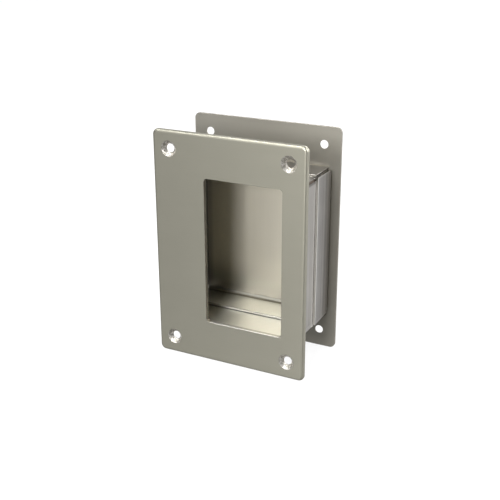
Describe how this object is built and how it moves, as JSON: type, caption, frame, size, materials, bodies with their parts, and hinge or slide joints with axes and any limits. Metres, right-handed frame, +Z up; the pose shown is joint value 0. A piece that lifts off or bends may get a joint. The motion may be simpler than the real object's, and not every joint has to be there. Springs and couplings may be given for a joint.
{
  "type": "recessed door pull",
  "caption": "Recessed through-door pull: a front plate with an offset finger opening, a blank rear plate, and a folded sleeve and tray that slide together as the pocket.",
  "frame": {"origin": "middle of the width and of the depth, on the lower edges of the two plates", "axes": "+X across the plates, +Y from the front plate to the rear plate, +Z up the plates"},
  "size_m": [0.09, 0.048, 0.13],
  "materials": {
    "front_plate": "brushed satin stainless steel",
    "front_sleeve": "mill finish stainless sheet with faint draw marks",
    "rear_plate": "brushed satin stainless steel",
    "rear_tray": "mill finish stainless sheet with faint draw marks"
  },
  "bodies": {
    "front_half": {"front_plate": "front_plate", "front_sleeve": "front_sleeve"},
    "rear_half": {"rear_plate": "rear_plate", "rear_tray": "rear_tray"}
  },
  "joints": [
    {"name": "depth_slide", "type": "slide", "parent": "front_half", "child": "rear_half", "axis": [0, 1, 0], "range_m": [-0.008, 0.005]}
  ]
}
